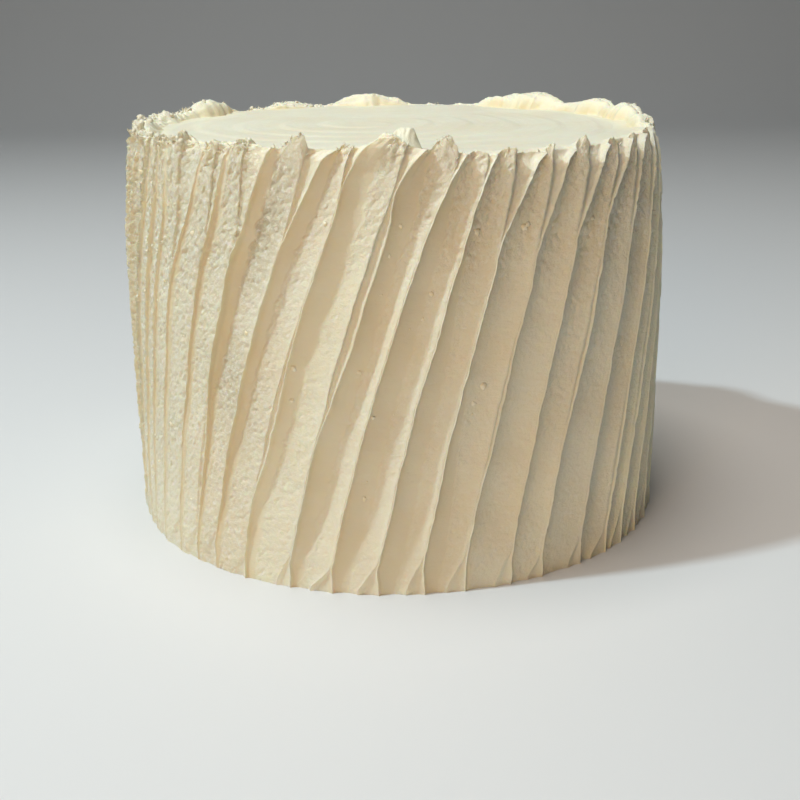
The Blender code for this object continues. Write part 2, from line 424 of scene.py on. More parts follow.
def wall_grid():
    """The wall's points by column and row: the stroke of each, its angle, and what it is near."""
    w = SimpleNamespace()
    w.stroke, w.part, w.share = column_layout()
    w.z = np.linspace(0.0, HEIGHT, int(WALL_ROWS * FINE))[:, None]
    w.in_channel = w.part == CHANNEL
    w.channel_share = np.where(w.in_channel, w.share, 0.0)
    ridge = ridge_angle(w.stroke, w.z)
    following = ridge_angle(w.stroke + 1, w.z)
    land_left = left_land(w.stroke, w.z)
    land_right = right_land(w.stroke, w.z)
    land_before = right_land(w.stroke - 1, w.z)
    land_after = left_land(w.stroke + 1, w.z)
    left = ridge + land_left
    right = following - land_right
    across = np.where(w.in_channel, left + (right - left) * w.share, right + land_right * w.share)
    w.angle = np.where(w.part == LAND_BEFORE, ridge + land_left * w.share, across)
    w.around = from_front(w.angle)
    w.ridge = ridge
    w.middle = (ridge + following) / 2
    w.rounded = below(w.middle, -24.0, 14.0)

    # Distances in mm from the four stroke edges that the column lies between
    millimetre = np.degrees(MM / wall_radius(w.z))
    w.from_before = (w.angle - ridge + land_before) / millimetre
    w.to_left = (w.angle - left) / millimetre
    w.to_right = (right - w.angle) / millimetre
    w.to_after = (following + land_after - w.angle) / millimetre
    w.gap_left = (land_left + land_before) / millimetre
    w.gap_right = (land_right + land_after) / millimetre
    return w


def channel_depth(w):
    """Depth of the strokes' channels: less at the foot, by the top edge and at the left."""
    foot = 0.38 + 0.62 * smooth(w.z / 0.034)
    low_left = 1.0 - 0.45 * below(w.ridge, -22.0, 15.0) * below(w.z, 0.07, 0.04)
    fading = 0.25 + 0.45 * below(w.middle, -12.0, 14.0)
    top = 1.0 - fading * above(w.z, HOOK_LEVEL, HEIGHT - HOOK_LEVEL)
    uneven = 1.0 + 0.22 * noise(w.stroke * 4.7, w.z / 0.024, seed=10)
    uneven = uneven + 0.10 * noise(w.stroke * 6.1, w.z / 0.008, seed=11)
    shallow = 1.0 - 0.46 * below(w.middle, -28.0, 16.0) - 0.12 * bell(w.z, 0.065, 0.032)
    return DEPTH[w.stroke] * foot * low_left * top * uneven * shallow


def valley(w, gap, share):
    """Relief of the land between two strokes, which dips where the gap is wide."""
    low = 0.38 + 0.62 * smooth(w.z / 0.04)
    wide = 1.0 - np.exp(-((gap / 3.0) ** 1.4))
    return -VALLEY_DEPTH * low * wide * valley_form(share)


def wall_relief(w):
    """How far the wall stands out from its plain radius, before it is torn."""
    left_width, right_width = LIP_WIDTHS
    own_lip = lip_height(w.stroke, w.z) * (1.0 - 0.6 * w.rounded)
    next_lip = lip_height(w.stroke + 1, w.z) * (1.0 - 0.8 * w.rounded)
    thin = 0.6 - 0.35 * above(w.middle, -6.0, 12.0) * (w.middle < 100.0)
    left_lip = own_lip * bell(w.to_left, 0.0, left_width)
    right_lip = thin * next_lip * bell(w.to_right, 0.0, right_width)
    worn = WORN_EDGE * w.rounded

    to_edge = np.minimum(np.maximum(w.to_left, 0.0), np.maximum(w.to_right, 0.0))
    channel = -channel_depth(w) * scoop_form(w.channel_share, w.middle)
    channel = channel - worn * np.exp(-np.where(w.in_channel, to_edge, 0.0) / 0.9)
    channel = channel + left_lip + right_lip
    before = valley(w, w.gap_left, w.from_before / w.gap_left) - worn + left_lip
    before = before + 0.6 * LIP[w.stroke] * bell(w.from_before, 0.0, right_width)
    after = valley(w, w.gap_right, -w.to_right / w.gap_right) - worn + right_lip
    after = after + next_lip * bell(w.to_after, 0.0, left_width)
    out = np.where(w.part == LAND_BEFORE, before, np.where(w.in_channel, channel, after))
    return out - LIP.max()


def top_edge(w):
    """Height of the top edge at each column, where each stroke ends in a lopsided arch."""
    edge_angle, around = w.angle[-1], w.around[-1]
    heap = heap_height(edge_angle)
    climb = arch_form(w.channel_share, APEX[w.stroke], POINTED[w.stroke]) * ARCH[w.stroke]
    behind = above(np.abs(around), 88.0, 20.0)
    climb = climb * (1.0 - 0.7 * smooth(heap / 0.004)) * (1.0 - 0.65 * behind)
    angles, levels = np.array(EDGE_LEVELS).T
    level = MM * np.interp(around, angles, levels)
    edge = np.maximum(climb, level + heap) + 0.15 * np.minimum(climb, heap)
    tears = 0.35 * noise(edge_angle * 0.9, 0.0, seed=6)
    tears = tears + 0.45 * noise(edge_angle * 2.3, 0.0, seed=7)
    edge = edge + tears * MM * (0.35 + smooth(climb / 0.003))
    return np.minimum(edge, PEAK - HEIGHT - 0.8 * MM)


def wall_points(w, edge):
    """The wall's points and, for its last row, their radius."""
    around = w.around[-1]
    height = w.z + above(w.z, ARCH_START, HEIGHT - ARCH_START) ** 1.3 * edge
    out = wall_relief(w)
    calm = 0.85 * smooth(heap_height(w.angle[-1]) / HEAP_LOW) * above(w.z, 0.140, 0.009)
    out = out - (out + LIP.max() + 1.2 * MM) * calm
    # The edge is bevelled, more so at the right, where it is rolled in
    roll = above(around, 18.0, 8.0) * below(around, 84.0, 10.0)
    tall = MM * (3.5 + 3.0 * roll)
    bevel = np.where(w.in_channel, 0.25, 1.0) * above(w.z, HEIGHT - tall, tall)
    radius = wall_radius(w.z) + out - MM * (1.1 + 1.3 * roll) * bevel
    x, y = level_place(radius, np.radians(w.angle))
    return joined(x, y, height), radius[-1]


def rim_points(skin, edge, edge_radius):
    """The rim, from the top edge inwards: thin behind a tip and rolled over where heaped."""
    inward, heaped = skin.inward, skin.heaped
    width = RIM_WIDTH + HEAP_WIDTH * np.clip(skin.heap / HEAP_FULL + 0.4 * skin.bank, 0.0, 1.0)
    uneven = 1.0 + 0.25 * noise(skin.edge_angle / 9.0, 0.0, seed=8)
    uneven = uneven + 0.12 * noise(skin.edge_angle / 2.5, 0.0, seed=9)
    thin = (1.0 - inward) ** 2.0
    rolled = (1.0 - inward**5) * (1.0 + 0.12 * np.sin(math.pi * inward))
    rise = edge * (thin + (rolled - thin) * heaped)
    rise = rise + TOP_RISE * (1.0 - (1.0 - inward) ** 3)
    plain_radius = wall_radius(HEIGHT) - LIP.max() - 1.4 * MM
    radius = edge_radius + (plain_radius - edge_radius) * smooth(inward / 0.4) * heaped
    radius = radius - width * uneven * inward
    x, y = level_place(radius, np.radians(skin.edge_angle))
    height = HEIGHT + rise + above(inward, 0.75, 0.25) * top_relief(x, y)
    return joined(x, y, height), radius[-1]


def flat_points(skin, rim_radius):
    """The flat border between the rim and the seam with the top's own piece."""
    radius = rim_radius + (SEAM_RADIUS - rim_radius) * skin.flat_share
    x, y = level_place(radius, np.radians(skin.edge_angle))
    return joined(x, y, HEIGHT + TOP_RISE + top_relief(x, y))


def crevice_share(w, skin):
    """Painted shade, deeper yellow, in the creases right of the ridges and at the rim's inner foot, and a
    tan streak under each speck.
    """
    inside = np.maximum(w.to_left, 0.0)
    wall = np.exp(-inside / 2.2) * (1.0 - np.exp(-inside / 0.35)) * w.in_channel
    for spot, level, _ in SPECKS:
        under = level * MM - w.z
        streak = bell(w.around, spot, 0.45) * smooth(under / 0.001)
        wall = wall + 0.9 * streak * np.exp(-np.maximum(under, 0.0) / 0.006) * (under < 0.03)
    rim = bell(skin.inward, 0.97, 0.16) * skin.heaped
    flat = np.exp(-((1.2 * skin.flat_share) ** 2)) * 0.5 * skin.heaped
    return np.concatenate([wall, rim, flat])


def band_shade_and_panels(w, skin):
    """Two measures of the skin: painted shade over the shadowed left part of each channel, and how much of
    the tearing it takes.
    """
    start = 0.24 + 0.08 * noise(w.stroke * 3.3, w.z / 0.0035, seed=12) + 0.28 * above(w.angle, -24.0, 16.0)
    start = start - 0.60 * above(w.angle, 8.0, 8.0) - 0.09 * below(w.angle, -30.0, 10.0)
    panel = above(w.share, start, 0.08)
    # Painted shade: tan over the left part of each channel, which lies in shadow, strongest at the cake's
    # left
    satin = np.where(w.in_channel, 1.0 - panel, 0.0)
    satin = satin * (1.0 - above(w.z, 0.130, 0.014) * below(w.around, -12.0, 16.0))
    at_left = 0.25 + 0.55 * below(w.around, -26.0, 14.0)
    at_left = at_left * (1.0 - 0.5 * below(w.around, -44.0, 12.0))
    satin = satin * at_left * above(w.around, -165.0, 40.0)
    on_land = 0.55 + 0.4 * below(w.around, -18.0, 15.0)
    least = 0.06 + 0.22 * below(w.around, -22.0, 20.0)
    panel = np.where(w.in_channel, least + (1.0 - least) * panel, on_land)
    rest = (skin.rim_count + FLAT_ROWS, len(w.stroke))
    return np.concatenate([satin, np.zeros(rest)]), np.concatenate([panel, np.ones(rest)])


def skin_grid():
    """The skin: its points, rows from the foot to the seam, and the measures its finish needs."""
    w = wall_grid()
    skin = SimpleNamespace(stroke=w.stroke, edge_angle=w.angle[-1])
    skin.wall_count, skin.rim_count = len(w.z), int(RIM_ROWS * FINE)
    skin.inward = (np.arange(1, skin.rim_count + 1) / skin.rim_count)[:, None] ** 1.15
    skin.flat_share = (np.arange(1, FLAT_ROWS + 1) / FLAT_ROWS)[:, None]
    around = w.around[-1]
    skin.heap = heap_height(skin.edge_angle)
    # A bank of torn icing lies along the rim at the left
    skin.bank = below(around, -16.0, 14.0) * above(around, -115.0, 20.0)
    skin.heaped = np.maximum(smooth(skin.heap / HEAP_LOW), 0.75 * skin.bank)
    corner = 1.0 - 0.5 * bell(around, 88.0, 16.0)
    skin.lumpy = np.maximum(smooth(skin.heap / HEAP_LOW) * corner, 0.4 * skin.bank)

    edge = top_edge(w)
    wall, edge_radius = wall_points(w, edge)
    rim, rim_radius = rim_points(skin, edge, edge_radius)
    skin.points = np.concatenate([wall, rim, flat_points(skin, rim_radius)])
    shares = np.concatenate([np.ones(w.z.shape), 1.0 - skin.inward, 0.0 * skin.flat_share])
    skin.wall_share = shares * np.ones(len(w.stroke))
    skin.crevice = crevice_share(w, skin)
    skin.satin, skin.panel = band_shade_and_panels(w, skin)
    return skin


def top_relief(x, y):
    """Height of the smooth top's soft spiral of knife marks, about a centre set off the axis."""
    dx, dy = x - SWIRL_CENTRE[0], y - SWIRL_CENTRE[1]
    reach = np.hypot(dx, dy)
    turn = np.arctan2(dx, -dy) / (2.0 * math.pi)
    bend = 0.25 * noise(x / 0.05, y / 0.05, seed=20)
    phase = (reach / SWIRL_PITCH + turn + bend) % 1.0
    step = phase - above(phase, 0.70, 0.30)
    fade = smooth(reach / 0.012)
    streak = noise(reach / 0.0022, turn * 18.0, seed=21) * smooth(reach / 0.02)
    swell = noise(x / 0.045, y / 0.045, seed=22)
    return MM * (0.56 * (step - 0.3) * fade + 0.09 * streak + 0.40 * swell)


def grid_normals(points):
    """Unit normals of a grid whose columns run round the cake and whose rows run upwards."""
    across = np.roll(points, -1, 1) - np.roll(points, 1, 1)
    along = np.gradient(points, axis=0)
    normals = np.cross(across, along)
    return normals / np.maximum(np.linalg.norm(normals, axis=-1, keepdims=True), 1e-12)


def left_share(angle):
    """From 0 to 1: how far round to the left an angle is, where the icing is most torn."""
    return below(angle, -8.0, 30.0) * above(angle, -130.0, 42.0)


def roughness_of(skin, angle):
    """How torn the icing is: most at the left and by the top edge."""
    height = skin.points[..., 2]
    patch = 0.5 + 0.5 * noise_at(skin.points, 30.0, 30)
    rough = 0.16 + 0.55 * left_share(angle) * (0.55 + 0.45 * above(height, 0.02, 0.05))
    rough = rough + 0.34 * above(height, 0.095, 0.045) + 0.22 * patch
    rough = np.clip(rough, 0.0, 1.0) * skin.wall_share * skin.panel
    return np.clip(rough * (1.0 + 0.35 * below(angle, -48.0, 20.0)), 0.0, 1.15)


def outward_ways(skin):
    """The way the finish is raised: level on the side, turning upwards over the rim."""
    rows = np.arange(len(skin.points))[:, None]
    near_edge = above(rows, skin.wall_count * 0.95, skin.wall_count * 0.05)
    turn_width = skin.rim_count * (0.25 + 0.45 * skin.heaped)
    lift = 0.5 * math.pi * (0.45 * near_edge + 0.55 * above(rows, skin.wall_count, turn_width))
    x, y = skin.points[..., 0], skin.points[..., 1]
    level = np.cos(lift) / np.hypot(x, y)
    return joined(x * level, y * level, np.sin(lift))


def edge_relief(skin, angle):
    """Height in mm of the crumbs and crust on the top edge and the lumps and folds of the heaps."""
    points = skin.points
    rows = np.arange(len(points))[:, None]
    on_wall = rows < skin.wall_count
    under = (skin.wall_count - 1 - rows) * HEIGHT / skin.wall_count
    over = (rows - skin.wall_count) / skin.rim_count
    edge = np.where(on_wall, bell(under, 0.0, 0.0030), below(over, 1.0, 0.5))
    crumbs = noise_at(points, 1.9, 36) + 0.6 * noise_at(points, 1.0, 37)
    clean = above(angle, 14.0, 10.0) * below(angle, 86.0, 8.0)
    ragged = 1.0 + 1.1 * left_share(angle) - 0.65 * clean
    out = EDGE_CRUMBS * crumbs * edge * ragged * (1.0 - 0.8 * skin.heaped * (ragged < 1.3))
    crust = 2.0 * np.abs(noise_at(points, 3.2, 41)) - 0.45
    out = out + EDGE_CRUST * crust * edge * left_share(angle)
    around = np.radians(skin.edge_angle) * RADIUS
    slant = np.clip(over, -0.6, 1.0) * 1.9 + around / 0.042
    folds = np.abs(noise(around / 0.038, slant, seed=38))
    lumps = 2.4 * folds - 0.8 + 0.9 * noise_at(points, 9.0, 40)
    lumps = lumps + 0.25 * noise_at(points, 2.5, 39)
    bulge = np.where(on_wall, bell(under, 0.0, 0.006), below(over, 1.0, 0.12))
    return out + HEAP_LUMPS * lumps * bulge * skin.lumpy


def tear(skin):
    """Gives the skin its pits, tears and crumbs, and keeps it inside the solid's box."""
    points = skin.points
    angle = angle_of(points)
    rough = roughness_of(skin, angle)
    coarse = noise_at(points, 3.4, 31)
    grain = noise_at(points, 1.5, 32)
    pits = above(noise_at(points, 1.7, 33), 0.20, 0.35)
    patches = above(noise_at(points, 5.0, 34), 0.30, 0.25)
    wave = noise_at(points, 26.0, 35)
    out = COARSE_TEARS * coarse * rough + FINE_TEARS * grain * rough - PIT_DEPTH * pits * rough**1.3
    out = out + PATCH_TEARS * patches * grain * rough + SIDE_WAVES * wave * (skin.wall_share > 0.99)
    out = out + edge_relief(skin, angle)
    moved = points + outward_ways(skin) * (out * MM)[..., None]
    moved[0, :, 2] = 0.0
    moved[..., 2] = np.clip(moved[..., 2], 0.0, PEAK - SKIN_SPARE)
    moved[..., :2] *= shrink_to_box(moved)
    skin.points, skin.rough, skin.normals = moved, rough, grid_normals(moved)


def shrink_to_box(points):
    """The factor that brings each point's radius within the solid's, for its x and y."""
    reach = np.hypot(points[..., 0], points[..., 1])
    return np.minimum(1.0, (RADIUS - SKIN_SPARE) / np.maximum(reach, 1e-9))[..., None]


def new_object(name, data):
    thing = bpy.data.objects.new(name, data)
    bpy.context.scene.collection.objects.link(thing)
    return thing


def new_mesh(name, points, faces, normals=None, uv=None, values=None):
    """A smooth-shaded mesh object from arrays. Faces is a list of arrays, each of one size."""
    mesh = bpy.data.meshes.new(name)
    counts = np.concatenate([np.full(len(f), f.shape[1]) for f in faces])
    loops = np.concatenate([f.ravel() for f in faces]).astype(np.int32)
    mesh.vertices.add(len(points))
    mesh.vertices.foreach_set("co", points.astype(np.float32).ravel())
    mesh.loops.add(len(loops))
    mesh.loops.foreach_set("vertex_index", loops)
    mesh.polygons.add(len(counts))
    starts = np.concatenate([[0], np.cumsum(counts)[:-1]]).astype(np.int32)
    mesh.polygons.foreach_set("loop_start", starts)
    mesh.update(calc_edges=True)
    mesh.validate()
    mesh.shade_smooth()
    if uv is not None:
        layer = mesh.uv_layers.new(name="OFBake")
        layer.data.foreach_set("uv", uv[loops].astype(np.float32).ravel())
    for label, value in (values or {}).items():
        attribute = mesh.attributes.new(label, "FLOAT", "POINT")
        attribute.data.foreach_set("value", np.asarray(value, np.float32).ravel())
    if normals is not None:
        mesh.normals_split_custom_set_from_vertices(normals.astype(np.float32))
    return new_object(name, mesh)


def plain_values(count, torn=0.0, wall=0.0, heap=0.0):
    """The measures that the icing's material reads, for a piece apart from the skin."""
    nothing = np.zeros(count)
    return {"crevice": nothing, "torn": nothing + torn, "wall": nothing + wall, "heap": nothing + heap}


def quads(rows, columns):
    """Faces of a plain grid of points, counted row by row."""
    low = (np.arange(rows - 1)[:, None] * columns + np.arange(columns - 1)).ravel()
    return joined(low, low + 1, low + columns + 1, low + columns)


def finish_piece(piece, material):
    piece.data.materials.append(material)
    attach(piece, "root")
    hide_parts(CAKE)


def places_along(lengths):
    """Places from 0 to 1 along a line, from the lengths of its steps."""
    places = np.concatenate([[0.0], np.cumsum(lengths)])
    return places / places[-1]


def side_pieces(skin, material):
    """The side and the rim, cut along ridges into pieces of whole strokes."""
    firsts = [int(round(STROKES * number / SECTORS)) for number in range(SECTORS + 1)]
    rows = len(skin.points)
    lengths = np.linalg.norm(np.diff(skin.points, axis=0), axis=-1).mean(1)
    along = places_along(lengths)[:, None]
    measures = {"crevice": skin.crevice, "torn": skin.rough, "wall": skin.wall_share}
    measures |= {"satin": skin.satin, "heap": np.broadcast_to(skin.heaped, skin.rough.shape)}
    for number in range(SECTORS):
        chosen = np.flatnonzero((skin.stroke >= firsts[number]) & (skin.stroke < firsts[number + 1]))
        columns = np.append(chosen, (chosen[-1] + 1) % len(skin.stroke))
        points = skin.points[:, columns]
        across = np.linalg.norm(np.diff(points[rows // 3], axis=0), axis=-1)
        uv = joined(places_along(across), along)
        values = {label: measure[:, columns] for label, measure in measures.items()}
        faces = [quads(rows, len(columns))]
        normals = skin.normals[:, columns].reshape(-1, 3)
        name = f"icing_side_{number + 1}"
        piece = new_mesh(name, points.reshape(-1, 3), faces, normals, uv.reshape(-1, 2), values)
        finish_piece(piece, material)


def blob(size, seed, detail):
    """Points and faces of a small uneven lump about the origin."""
    bm = bmesh.new()
    bmesh.ops.create_icosphere(bm, subdivisions=detail, radius=1.0)
    points = np.array([v.co for v in bm.verts])
    faces = np.array([[v.index for v in f.verts] for f in bm.faces])
    bm.free()
    x, y, z = 1.3 * points.T
    swell = 1.0 + 0.75 * noise(x + 9.0 * seed, y, z, 50)
    return points * swell[:, None] * size, faces


def spike(length, width, bend):
    """Points and faces of a thin curled flake that grows along +Z from the origin."""
    steps, sides = 6, 5
    along = np.linspace(0.0, 1.0, steps)[:, None]
    turn = np.arange(sides) * 2.0 * math.pi / sides
    reach = width * (1.0 - along) ** 0.7
    x = reach * np.cos(turn) + bend * length * along**2
    y = 0.45 * reach * np.sin(turn)
    z = length * (along - 0.12)
    points = joined(x, y, z).reshape(-1, 3)[: (steps - 1) * sides]
    points = np.concatenate([points, [[bend * length, 0.0, 0.88 * length]]])
    faces = []
    for low in range(steps - 2):
        for side in range(sides):
            a, b = low * sides + side, low * sides + (side + 1) % sides
            faces += [[a, b, b + sides], [a, b + sides, a + sides]]
    last = (steps - 2) * sides
    faces += [[last + side, last + (side + 1) % sides, len(points) - 1] for side in range(sides)]
    return points, np.array(faces)


def scattered(name, parts, torn, material):
    """One mesh of many small parts, each (points, faces, 4x4 placement)."""
    points, faces, start = [], [], 0
    for local, local_faces, place in parts:
        points.append(local @ np.array(place.to_3x3()).T + np.array(place.translation))
        faces.append(local_faces + start)
        start += len(local)
    points = np.concatenate(points)
    points[:, :2] *= shrink_to_box(points)
    points[:, 2] = np.clip(points[:, 2], SKIN_SPARE, PEAK - SKIN_SPARE)
    values = plain_values(len(points), torn=torn, wall=1.0)
    finish_piece(new_mesh(name, points, [np.concatenate(faces)], values=values), material)


def placed(point, way, spin):
    """A placement that turns +Z to a direction, after a spin about it."""
    turn = Vector(way).to_track_quat("Z", "Y").to_matrix().to_4x4()
    return Matrix.Translation(Vector(point)) @ turn @ Matrix.Rotation(spin, 4, "Z")


def lump_on(skin, row, column, size, form, rng, detail=1, sink=0.0):
    """A lump on the skin, as points, faces and placement. Sink is a share of its size."""
    shape, faces = blob(size, rng.integers(1000), detail)
    shape = shape * np.array(form) - np.array([0.0, 0.0, sink * size])
    place = placed(skin.points[row, column], skin.normals[row, column], rng.uniform(0.0, SPIN))
    return shape, faces, place


def nearest(skin, angle, height):
    """Row and column of the wall's point nearest to an angle and a height in mm."""
    wall = skin.points[: skin.wall_count]
    row = int(np.argmin(np.abs(wall[:, 0, 2] - height * MM)))
    column = int(np.argmin(np.abs(from_front(angle_of(wall[row]) - angle))))
    return row, column


def edge_spike(skin, row, column, tall, rng):
    """A thin flake that stands up from the torn edge. A tall one can be longer."""
    turn = np.radians(skin.edge_angle[column])
    along = np.array([math.cos(turn), math.sin(turn), 0.0])
    way = skin.normals[row, column] * rng.uniform(0.2, 1.0) + along * rng.uniform(-0.6, 1.2)
    way = way + np.array([0.0, 0.0, rng.uniform(0.1, 1.0)])
    way = way / np.linalg.norm(way)
    length = MM * rng.uniform(0.8, 1.7) * (1.0 + 0.8 * (rng.random() < 0.12) * tall)
    shape = spike(length, length * rng.uniform(0.20, 0.36), rng.uniform(-0.3, 0.5))
    return (*shape, placed(skin.points[row, column], way, rng.uniform(0.0, SPIN)))


def torn_pieces(skin, material):
    """Loose spikes and clods of icing, on the torn top edge and down the side."""
    rng = np.random.default_rng(23)
    edge_row = skin.wall_count - 1
    angle = from_front(skin.edge_angle)
    left = (angle < -45.0) & (angle > -160.0)
    chance = np.where(left, LEFT_CHANCE, 1.0) * (1.0 - 0.7 * skin.heaped * ~left)
    chance = np.where((angle > 15.0) & (angle < 100.0), 0.1, 1.0) * chance
    chance = chance / chance.sum()
    spikes, clods = [], []
    for column in rng.choice(len(angle), SPIKES, p=chance):
        row = edge_row + int(rng.integers(-3, 9 if left[column] else 4))
        spikes.append(edge_spike(skin, row, column, not left[column], rng))
    for column in rng.choice(len(angle), EDGE_CLODS, p=chance):
        row = edge_row + int(rng.integers(2, 20) if left[column] else rng.integers(-2, 6))
        size = MM * rng.uniform(0.35, 0.75) * (2.2 if left[column] else 1.0)
        form = (1.0, 1.0, 0.5 if left[column] else 0.65)
        clods.append(lump_on(skin, row, column, size, form, rng))
    for column in rng.choice(np.flatnonzero((angle < -38.0) & (angle > -110.0)), WALL_CLODS):
        row = int(rng.integers(8, edge_row - 6))
        size = MM * rng.uniform(0.35, 0.85)
        clods.append(lump_on(skin, row, column, size, (1.0, 1.0, 0.6), rng))
    for spot, height, size in SPECKS:
        clods.append(lump_on(skin, *nearest(skin, spot, height), size * MM, (0.8, 0.8, 0.6), rng))
    scattered("torn_spikes", spikes, 0.6, material)
    scattered("torn_clods", clods, 0.6, material)


def crumb_piece(skin, material):
    """Crumbs stuck in the side, sunk a little way into it."""
    rng = np.random.default_rng(29)
    spots = list(FRONT_CRUMBS)
    for _ in range(BACK_CRUMBS):
        spots.append((rng.uniform(60.0, 320.0), rng.uniform(15.0, 145.0), rng.uniform(0.4, 1.0)))
    for _ in range(SMALL_CRUMBS):
        spots.append((rng.uniform(-80.0, 60.0), rng.uniform(15.0, 145.0), rng.uniform(0.3, 0.5)))
    parts = []
    for angle, height, size in spots:
        place = nearest(skin, angle, height)
        parts.append(lump_on(skin, *place, size * MM, (1.0, 1.0, 0.6), rng, detail=2, sink=0.22))
    scattered("crumbs", parts, 0.3, material)


def curl_piece(material):
    """A curl of icing folded back from the front edge, rising to the right and torn off there."""
    rows, columns = 40, 90
    start_x, length = -0.017, 0.027
    start_y, tall = -0.0985, 8.6 * MM
    along = np.linspace(0.0, 1.0, columns)[None, :]
    across = np.linspace(0.0, 1.0, rows)[:, None]
    rise = tall * np.clip(along / 0.70, 0.0, 1.0) ** 1.5 * (1.0 - above(along, 0.78, 0.22) ** 1.5)
    ragged = 1.0 + 0.10 * noise(along * 22.0, across * 5.0, seed=61) * above(along, 0.4, 0.3)
    x = start_x + length * along + 1.6 * MM * across
    width = 0.005 + 0.010 * np.sin(math.pi * np.clip(along * 0.95, 0.0, 1.0)) ** 0.7
    y = start_y + 0.005 * along + width * across
    z = HEIGHT + TOP_RISE - 0.9 * MM + rise * ragged * np.sin(math.pi * across**1.6) ** 0.75
    points = joined(x, y, z)
    points[..., 0] += 0.5 * MM * noise(along * 7.0, across * 3.0, seed=62)
    points[..., 1] += 0.5 * MM * noise(along * 7.0, across * 3.0, seed=63)
    points[..., 2] += 0.12 * MM * noise(along * 24.0, across * 10.0, seed=64)
    points[..., 2] = np.minimum(points[..., 2], PEAK - 0.08 * MM)
    torn = np.broadcast_to(0.15 + 0.35 * along, (rows, columns)).ravel()
    uv = joined(along, across).reshape(-1, 2)
    values = plain_values(rows * columns, torn=torn, heap=1.0)
    piece = new_mesh("icing_curl", points.reshape(-1, 3), [quads(rows, columns)], None, uv, values)
    finish_piece(piece, material)


def ring_faces(outer, inner):
    """Faces between two closed rings of points, the inner with as many points or with half."""
    later = np.roll(inner, -1)
    if len(outer) == len(inner):
        return [joined(outer, np.roll(outer, -1), later, inner)]
    even, odd = outer[::2], outer[1::2]
    after = np.roll(even, -1)
    return [joined(even, odd, inner), joined(odd, after, later), joined(odd, later, inner)]


def top_rings(seam):
    """Points and faces of the smooth top, ring by ring from the seam to the middle."""
    turn = np.unwrap(np.arctan2(seam[:, 0], -seam[:, 1]))
    ring = np.arange(len(turn))
    points, faces = [seam], []
    start = len(turn)
    halved = 0
    for radius in np.linspace(SEAM_RADIUS, TOP_CORE, int(TOP_ROWS * FINE))[1:]:
        if halved < len(HALVING_RADII) and radius < HALVING_RADII[halved] and len(turn) % 2 == 0:
            turn = turn[::2]
            halved += 1
        x, y = level_place(radius, turn)
        points.append(joined(x, y, HEIGHT + TOP_RISE + top_relief(x, y)))
        inner = np.arange(start, start + len(turn))
        faces += ring_faces(ring, inner)
        ring = inner
        start += len(turn)
    middle = HEIGHT + TOP_RISE + top_relief(np.zeros(1), np.zeros(1))[0]
    points.append(np.array([[0.0, 0.0, middle]]))
    faces.append(joined(ring, np.roll(ring, -1), start))
    return np.concatenate(points), faces


def top_piece(seam, seam_normals, material):
    """The smooth swirled top inside the rim."""
    points, faces = top_rings(seam)
    step = 0.3 * MM
    x, y = points[:, 0], points[:, 1]
    slope_x = (top_relief(x + step, y) - top_relief(x - step, y)) / (2.0 * step)
    slope_y = (top_relief(x, y + step) - top_relief(x, y - step)) / (2.0 * step)
    normals = joined(-slope_x, -slope_y, 1.0)
    normals /= np.linalg.norm(normals, axis=-1, keepdims=True)
    normals[: len(seam)] = seam_normals
    uv = points[:, :2] / (2.0 * SEAM_RADIUS) + 0.5
    finish_piece(new_mesh("icing_top", points, faces, normals, uv, plain_values(len(points))), material)


def base_piece(foot, material):
    """The flat underside, which closes the skin at the foot."""
    points = np.concatenate([foot, [[0.0, 0.0, 0.0]]])
    ring = np.arange(len(foot))
    faces = [joined(np.roll(ring, -1), ring, len(foot))]
    uv = points[:, :2] / (2.0 * RADIUS) + 0.5
    down = np.tile([0.0, 0.0, -1.0], (len(points), 1))
    finish_piece(new_mesh("icing_base", points, faces, down, uv, plain_values(len(points))), material)


def set_inputs(node, values):
    for name, value in values.items():
        node.inputs[name].default_value = value


class Nodes:
    """Short calls for building one material's node tree."""

    def __init__(self, name):
        self.material = bpy.data.materials.new(name)
        self.material.use_nodes = True
        self.tree = self.material.node_tree
        self.shader = self.tree.nodes["Principled BSDF"]

    def add(self, kind, *links, **settings):
        """A node; each link is (output socket, name of this node's input)."""
        node = self.tree.nodes.new(kind)
        for name, value in settings.items():
            setattr(node, name, value)
        for output, name in links:
            self.tree.links.new(output, node.inputs[name])
        return node

    def shade(self, output, name):
        """Leads an output to the shader's input of that name."""
        self.tree.links.new(output, self.shader.inputs[name])

    def value_of(self, name):
        return self.add("ShaderNodeAttribute", attribute_name=name).outputs["Fac"]

    def noise(self, vector, scale, detail=3.0, roughness=0.55):
        node = self.add("ShaderNodeTexNoise", (vector, "Vector"))
        set_inputs(node, {"Scale": scale, "Detail": detail, "Roughness": roughness})
        return node.outputs["Fac"]

    def ranged(self, value, low, high, to_low=0.0, to_high=1.0):
        node = self.add("ShaderNodeMapRange", (value, "Value"), interpolation_type="SMOOTHSTEP")
        set_inputs(node, {"From Min": low, "From Max": high, "To Min": to_low, "To Max": to_high})
        return node.outputs["Result"]

    def maths(self, operation, first, second):
        node = self.add("ShaderNodeMath", operation=operation)
        for socket, value in zip(node.inputs, (first, second)):
            if isinstance(value, (int, float)):
                socket.default_value = value
            else:
                self.tree.links.new(value, socket)
        return node.outputs[0]

    def times(self, first, second):
        return self.maths("MULTIPLY", first, second)

    def plus(self, first, second):
        return self.maths("ADD", first, second)

    def mixed(self, share, first, second):
        """A colour between two, each a socket or three numbers."""
        node = self.add("ShaderNodeMix", (share, "Factor"), data_type="RGBA")
        colours = [s for s in node.inputs if s.type == "RGBA"]
        for socket, value in zip(colours, (first, second)):
            if isinstance(value, tuple):
                socket.default_value = (*value, 1.0)
            else:
                self.tree.links.new(value, socket)
        return [s for s in node.outputs if s.type == "RGBA"][0]


